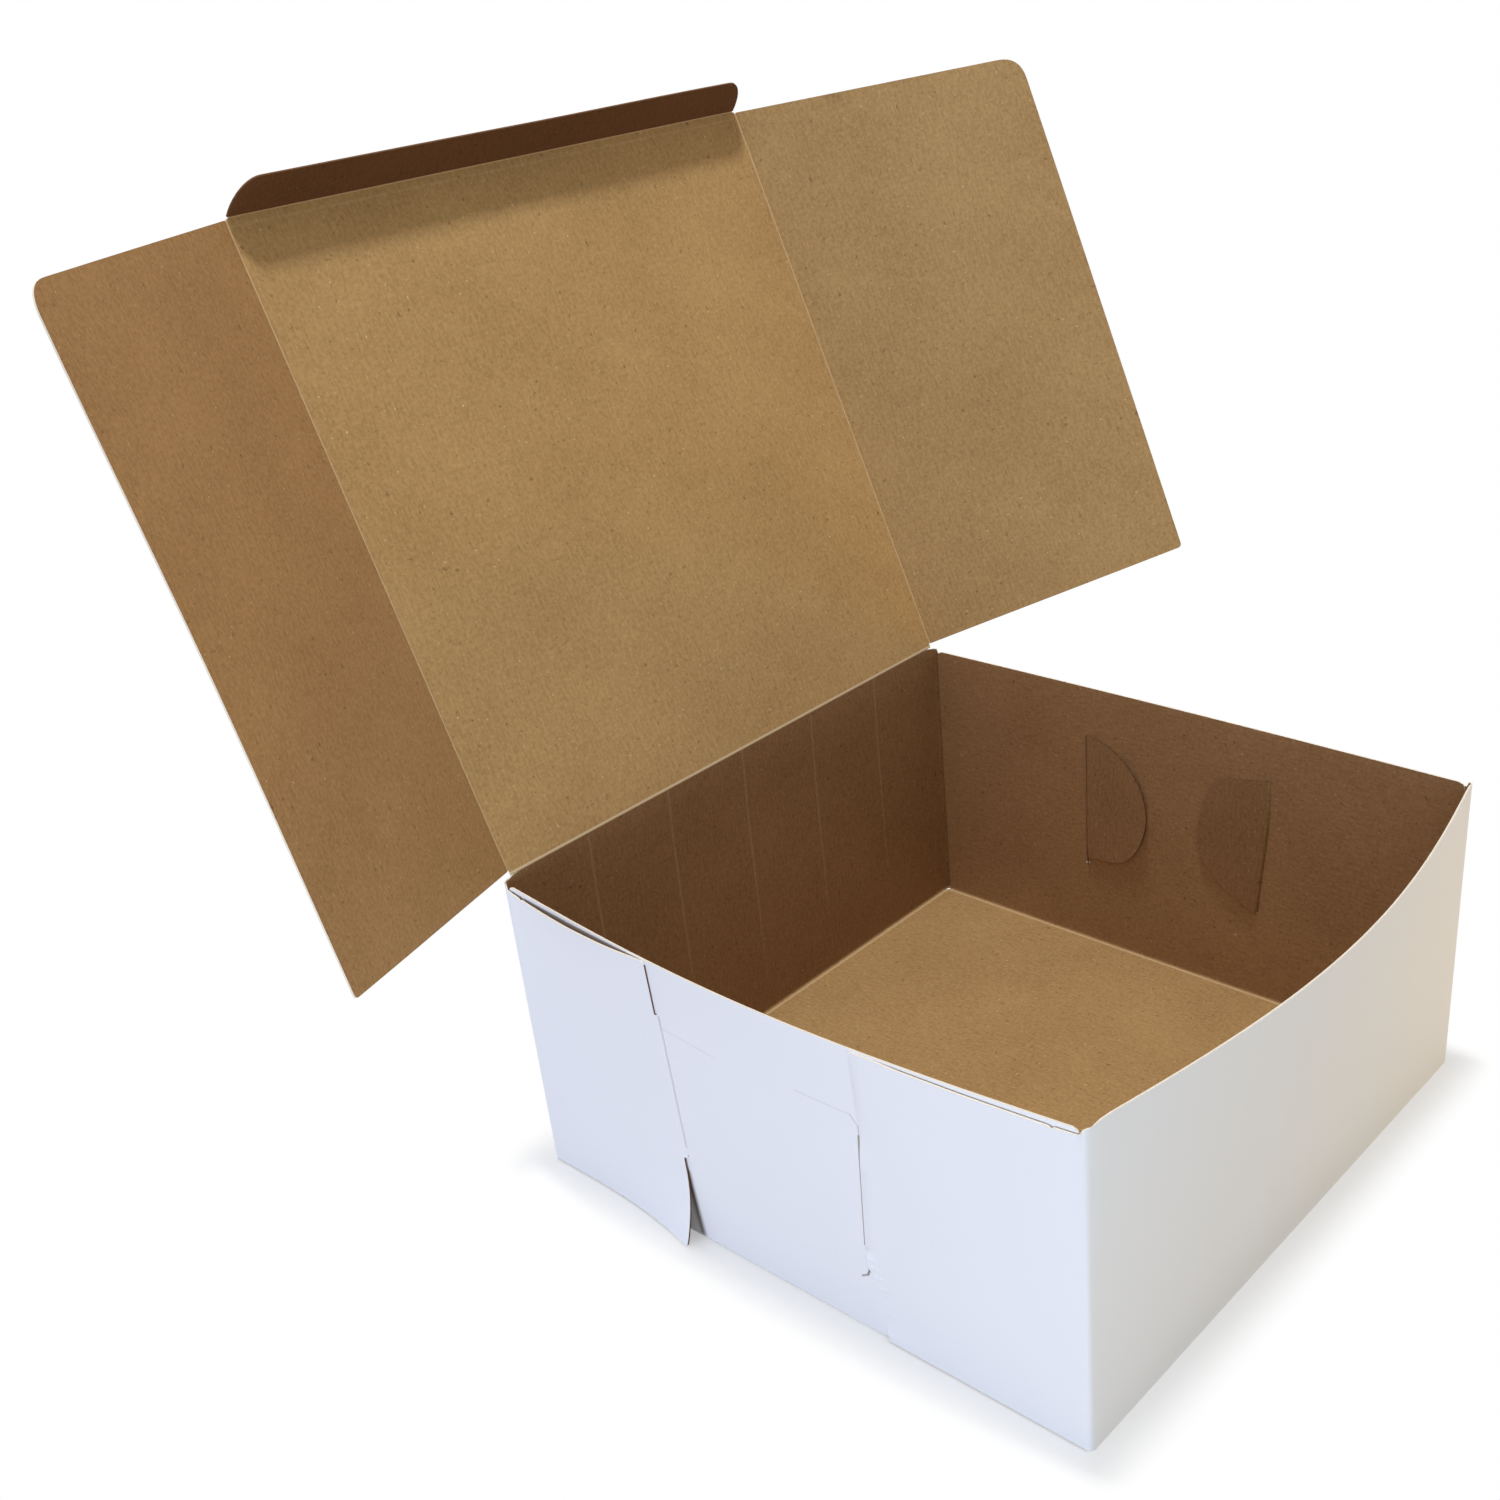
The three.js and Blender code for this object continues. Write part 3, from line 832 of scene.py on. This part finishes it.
def makeSideFlap(side):
    origin, across, inside = flapFrame(side)
    inner, outer = blank["setback"], blank["sideFlapWidth"]
    start, front = blank["sideFlapStart"], blank["lidLength"] - blank["sideFlapFrontGap"]
    frontOuter = front - blank["sideFlapTaper"]
    r, heel = blank["sideFlapCorner"], blank["sideFlapHeel"]
    slope = Vector((outer - inner, -blank["sideFlapTaper"])).normalized()
    corner = Vector((outer, frontOuter))
    one, two = corner - slope * r, Vector((outer, frontOuter - r))
    bend = [one.lerp(corner, t / 8).lerp(corner.lerp(two, t / 8), t / 8) for t in range(9)]
    outline = [(inner, start), (outer - heel, start), (outer - heel * 0.3, start + heel * 0.3),
               (outer, start + heel)]
    outline += [tuple(p) for p in reversed(bend)] + [(inner, front)]

    def place(u, v):
        edge = clamp((u - inner) / sag["sideFlapFrom"], 0, 1)
        curl = sag["sideFlapCurl"] * math.sin(math.pi * v / blank["lidLength"])
        away = (warp(u + 60 * side, v, sag["sideFlap"]) + curl) * edge
        return origin + lidAlong * v + across * u + inside * away

    isLeft = side < 0
    flap = foldBoard("leftFlapBoard" if isLeft else "rightFlapBoard", outline, place, cells["sideFlap"],
                     [coatedWhite, kraftLeft if isLeft else kraftInside, cutEdge], outward=-side)
    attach(flap, "left_flap" if isLeft else "right_flap")
    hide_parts("left_side_flap" if isLeft else "right_side_flap")


def tuckFrame():
    fold = math.radians(blank["tuckFold"])
    across = lidAlong * math.cos(fold) + lidInside * math.sin(fold)
    inside = lidInside * math.cos(fold) - lidAlong * math.sin(fold)
    return across, inside


def makeTuckFlap():
    across, inside = tuckFrame()
    x = creaseX - blank["setback"] - blank["tuckSide"]
    free = x - blank["tuckInset"]
    low, depth = blank["setback"], blank["tuckDepth"]
    quarter = [math.radians(9 * i) for i in range(11)]
    end = [(free + (x - free) * math.cos(a), low + (depth - low) * math.sin(a)) for a in quarter]
    outline = end + [(-u, v) for u, v in reversed(end)]

    def place(u, v):
        away = warp(u, v, sag["tuckFlap"]) * clamp(v / sag["tuckFlapFrom"], 0, 1)
        return frontCrease + across * v + Vector((u, 0, 0)) + inside * away

    # the tuck flap's inside and cut edges are darkened with painted shade
    flap = foldBoard("tuckFlapBoard", outline, place, cells["tuckFlap"], [coatedWhite, kraftShadeDark, kraftShadeDark],
                     outward=-1)
    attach(flap, "tuck_flap")
    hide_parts("front_tuck_flap")


# a crease: the board's own bend between two panels, built once at the rest folds
creaseStrip = {"reach": 0.44, "anchor": 0.45, "proud": 0.003, "steps": 8, "rowLength": 6.0, "endInset": 0.2}


def makeCrease(name, origin, along, span, firstOut, secondOut, insideOne, insideTwo, inner):
    reach, count, bendFrom = creaseStrip["reach"], creaseStrip["steps"], blank["setback"]
    thick = half + creaseStrip["proud"]
    middle = Vector((0, 0, 0))
    rows = []
    for i in range(count + 1):
        w = -reach + 2 * reach * i / count
        k = (w + bendFrom) / (2 * bendFrom)
        if abs(w) >= bendFrom:
            centre = (firstOut if w < 0 else secondOut) * abs(w)
        else:
            centre = (firstOut * bendFrom).lerp(middle, k).lerp(middle.lerp(secondOut * bendFrom, k), k)
        rows.append((centre, insideOne.lerp(insideTwo, ease(k)).normalized(), w))
    verts = []
    uvs = []
    low, high = span
    lengths = max(2, round((high - low) / creaseStrip["rowLength"]))
    for j in range(lengths + 1):
        s = low + (high - low) * j / lengths
        for sign in (-1, 1):
            for centre, normal, w in rows:
                verts.append((origin + along * s + centre + normal * sign * thick) * mm)
                uvs.append((w * mm, s * mm))
    ring = 2 * (count + 1)
    faces = []
    slots = []
    for j in range(lengths):
        a, b = j * ring, (j + 1) * ring
        c, d = a + count + 1, b + count + 1
        for i in range(count):
            faces.append((a + i, a + i + 1, b + i + 1, b + i))
            faces.append((c + i, d + i, d + i + 1, c + i + 1))
            slots += [0, 1]
        faces.append((a, b, d, c))
        faces.append((a + count, c + count, d + count, b + count))
        slots += [2, 2]
    for base, flip in ((0, False), (lengths * ring, True)):
        for i in range(count):
            quad = (base + i, base + count + 1 + i, base + count + 2 + i, base + i + 1)
            faces.append(tuple(reversed(quad)) if flip else quad)
            slots.append(2)
    strip = meshObject(name, verts, faces, slots, uvs, (coatedWhite, inner, cutEdge), (2,))
    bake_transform(strip)


def makeCreases():
    xEdge = creaseX - blank["setback"]
    ex = Vector((1, 0, 0))
    inset = creaseStrip["endInset"]
    makeCrease("lidCrease", hingePoint, ex, (-xEdge, xEdge),
               Vector((0, 0, -1)), lidAlong, Vector((0, -1, 0)), lidInside, kraftHinge)
    flapSpan = (blank["sideFlapStart"] + inset, blank["lidLength"] - blank["sideFlapFrontGap"] - inset)
    for side, name, body in ((-1, "leftCrease", "left_flap"), (1, "rightCrease", "right_flap")):
        origin, across, inside = flapFrame(side)
        makeCrease(name, origin, lidAlong, flapSpan, Vector((-side, 0, 0)), across,
                   lidInside, inside, kraftCrease)
    across, inside = tuckFrame()
    tuckEnd = xEdge - 2 * blank["tuckSide"]
    makeCrease("tuckCrease", frontCrease, ex, (-tuckEnd, tuckEnd),
               -lidAlong, across, lidInside, inside, kraftCrease)


makeLid()
makeSideFlap(-1)
makeSideFlap(1)
makeTuckFlap()
makeCreases()
print("lid and flaps folded")


# floor and light
studio = {
    "floorRadius": 6.0,
    "floorRough": 0.9,
    # the footprint's half width, and from there outwards how far the floor has turned white
    "footprint": 0.102,
    "floorBounce": (0.30, 0.25, 0.2, 1),
    "floorSeen": (1.0, 1.0, 1.0, 1),
    "whiteNear": (0.0, 0.3),
    "whiteFar": (0.016, 1.0),
    "worldLight": 0.57,
    "worldTint": (0.97, 0.98, 1.0, 1),
    # name, place, aim, width and height, power, colour
    "lamps": [
        ("topLamp", (0.0, 0.05, 1.35), (0, 0.05, 0.0), (0.11, 0.11), 9.6, (1.0, 0.985, 0.96)),
        ("leftLamp", (-0.72, 0.13, 0.06), (0, 0.04, 0.05), (0.5, 0.1), 2.3, (0.72, 0.80, 1.0)),
        ("frontLamp", (-0.32, -0.38, 0.07), (0, 0, 0.07), (0.2, 0.1), 0.5, (0.85, 0.96, 1.0)),
        ("warmLamp", (0.2, -0.34, 0.02), (0.06, -0.1, 0.02), (0.16, 0.03), 0.24, (1.0, 0.66, 0.16)),
        ("rearLamp", (0.15, 1.3, 0.12), (0, 0.1, 0.15), (0.8, 0.2), 7.6, (1.0, 1.0, 1.0)),
        ("rightLamp", (1.2, 0.5, 0.06), (0.1, 0, 0.05), (0.5, 0.1), 3.5, (1.0, 1.0, 1.0)),
    ],
}


def seenDirectly(tree):
    path = addNode(tree, "ShaderNodeLightPath")
    return mathNode(tree, "MAXIMUM", path.outputs["Is Camera Ray"], path.outputs["Is Glossy Ray"])


def makeStudio():
    mesh = bpy.data.meshes.new("floor")
    r = studio["floorRadius"]
    mesh.from_pydata([(-r, -r, 0), (r, -r, 0), (r, r, 0), (-r, r, 0)], [], [(0, 1, 2, 3)])
    floor = bpy.data.objects.new("floor", mesh)
    bpy.context.collection.objects.link(floor)
    material, tree, shader = startMaterial("floorPale")
    shader.inputs["Roughness"].default_value = studio["floorRough"]
    shader.inputs["Specular IOR Level"].default_value = 0.0
    seen = seenDirectly(tree)
    base = mixColours(tree, seen, studio["floorBounce"], studio["floorSeen"])
    tree.links.new(base, shader.inputs["Base Color"])
    spot = addNode(tree, "ShaderNodeTexCoord").outputs["Object"]
    split = addNode(tree, "ShaderNodeSeparateXYZ", [(0, spot)])
    beside = [mathNode(tree, "SUBTRACT", mathNode(tree, "ABSOLUTE", split.outputs[i]), studio["footprint"],
                       clampIt=True) for i in (0, 1)]
    joined = addNode(tree, "ShaderNodeCombineXYZ", [(0, beside[0]), (1, beside[1])])
    away = addNode(tree, "ShaderNodeVectorMath", [(0, joined.outputs[0])], operation="LENGTH")
    near, far = studio["whiteNear"], studio["whiteFar"]
    ramp = [(0, away.outputs["Value"]), (1, near[0]), (2, far[0]), (3, near[1]), (4, far[1])]
    white = addNode(tree, "ShaderNodeMapRange", ramp, interpolation_type="SMOOTHSTEP").outputs[0]
    glow = addNode(tree, "ShaderNodeEmission", [("Color", (1, 1, 1, 1)), ("Strength", 1.0)])
    share = mathNode(tree, "MULTIPLY", seen, white)
    mixed = addNode(tree, "ShaderNodeMixShader", [(0, share), (1, shader.outputs[0]), (2, glow.outputs[0])])
    tree.links.new(mixed.outputs[0], tree.nodes["Material Output"].inputs[0])
    mesh.materials.append(material)
    world = bpy.data.worlds.new("studio")
    bpy.context.scene.world = world
    world.use_nodes = True
    tree = world.node_tree
    background = tree.nodes["Background"]
    seen = seenDirectly(tree)
    strength = addNode(tree, "ShaderNodeMapRange", [(0, seen), (3, studio["worldLight"]), (4, 1.0)])
    tree.links.new(strength.outputs[0], background.inputs["Strength"])
    tree.links.new(mixColours(tree, seen, studio["worldTint"], (1, 1, 1, 1)), background.inputs["Color"])
    for name, spot, aim, size, power, tint in studio["lamps"]:
        data = bpy.data.lights.new(name, "AREA")
        data.energy = power
        data.shape = "RECTANGLE"
        data.size, data.size_y = size
        data.color = tint
        lamp = bpy.data.objects.new(name, data)
        lamp.location = spot
        lamp.visible_camera = False
        lamp.rotation_euler = (Vector(aim) - Vector(spot)).to_track_quat("-Z", "Y").to_euler()
        bpy.context.collection.objects.link(lamp)


# the photo's camera, measured in the 1500 pixel frame, and shrunk a little so that the whole box is in view
photoCamera = {
    "pixels": 1500,
    "sensor": 36,
    "nearest": 0.01,
    "focalPixels": 1863.5,
    "centrePixels": (859.8, 878.3),
    "spanCentre": (754.0, 790.0),
    "shrink": 0.97,
    "place": (-0.369, -0.28695, 0.35322),
    "right": (0.64826, -0.75765, -0.07558),
    "down": (-0.4038, -0.25794, -0.87773),
    "forward": (0.64552, 0.59952, -0.47316),
}


def makeCamera():
    data = bpy.data.cameras.new("camera")
    size = photoCamera["pixels"]
    s = photoCamera["shrink"]
    data.sensor_width = photoCamera["sensor"]
    data.lens = photoCamera["focalPixels"] * s / size * photoCamera["sensor"]
    cx = size / 2 + (photoCamera["centrePixels"][0] - photoCamera["spanCentre"][0]) * s
    cy = size / 2 + (photoCamera["centrePixels"][1] - photoCamera["spanCentre"][1]) * s
    data.shift_x = (size / 2 - cx) / size
    data.shift_y = (cy - size / 2) / size
    data.clip_start = photoCamera["nearest"]
    right = Vector(photoCamera["right"])
    up = -Vector(photoCamera["down"])
    back = -Vector(photoCamera["forward"])
    camera = bpy.data.objects.new("camera", data)
    turned = Matrix((right, up, back)).transposed().to_4x4()
    turned.translation = Vector(photoCamera["place"])
    camera.matrix_world = turned
    bpy.context.collection.objects.link(camera)
    bpy.context.scene.camera = camera


makeStudio()
makeCamera()
bpy.context.scene.view_settings.view_transform = "Standard"
print("studio and camera ready")

bpy.context.view_layer.update()
